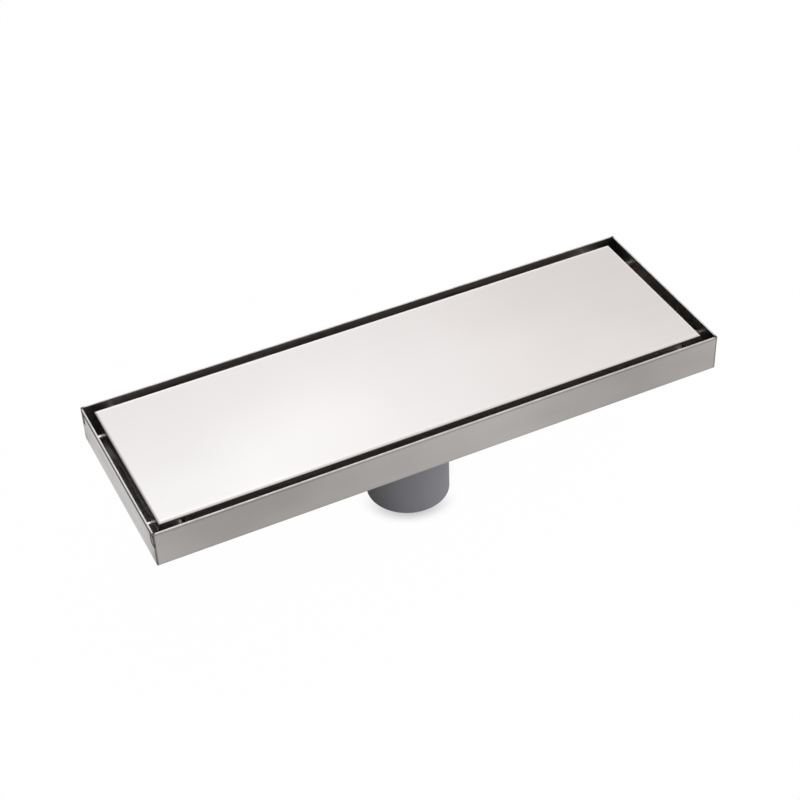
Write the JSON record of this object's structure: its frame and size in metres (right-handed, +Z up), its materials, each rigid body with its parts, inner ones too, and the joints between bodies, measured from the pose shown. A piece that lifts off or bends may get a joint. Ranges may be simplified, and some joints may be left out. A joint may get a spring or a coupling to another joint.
{
  "type": "floor drain",
  "caption": "Rectangular stainless floor drain: folded tray with a loose flat cover on rest pins, a clamped plastic outlet spigot below and a removable odour trap inside.",
  "frame": {"origin": "centre of the outlet spigot's lower end, on the surface that the drain stands on", "axes": "+Z up, towards the cover; +X along the tray's length; +Y across it"},
  "size_m": [0.3, 0.1, 0.076],
  "materials": {
    "tray_steel": "satin rolled stainless sheet",
    "cover_steel": "fine satin stainless plate",
    "pin_steel": "drawn stainless wire, weld at the root",
    "strainer_steel": "stamped stainless sheet",
    "grey_plastic": "moulded grey plastic, faintly glossy",
    "trap_plastic": "moulded pale plastic",
    "washer_plastic": "plain slip washer",
    "seal_rubber": "black sealing rubber"
  },
  "bodies": {
    "root": {"tray": "tray_steel", "cover": "cover_steel", "outlet_body": "grey_plastic", "lock_nut": "grey_plastic", "flange_gasket": "seal_rubber", "trap_o_ring": "seal_rubber", "nut_washer": "washer_plastic", "trap_funnel": "trap_plastic", "trap_cup": "trap_plastic", "hair_strainer": "strainer_steel", "rest_pin_left_front": "pin_steel", "rest_pin_left_back": "pin_steel", "rest_pin_right_front": "pin_steel", "rest_pin_right_back": "pin_steel", "rest_pin_front_left": "pin_steel", "rest_pin_front_right": "pin_steel", "rest_pin_back_left": "pin_steel", "rest_pin_back_right": "pin_steel"}
  },
  "joints": []
}
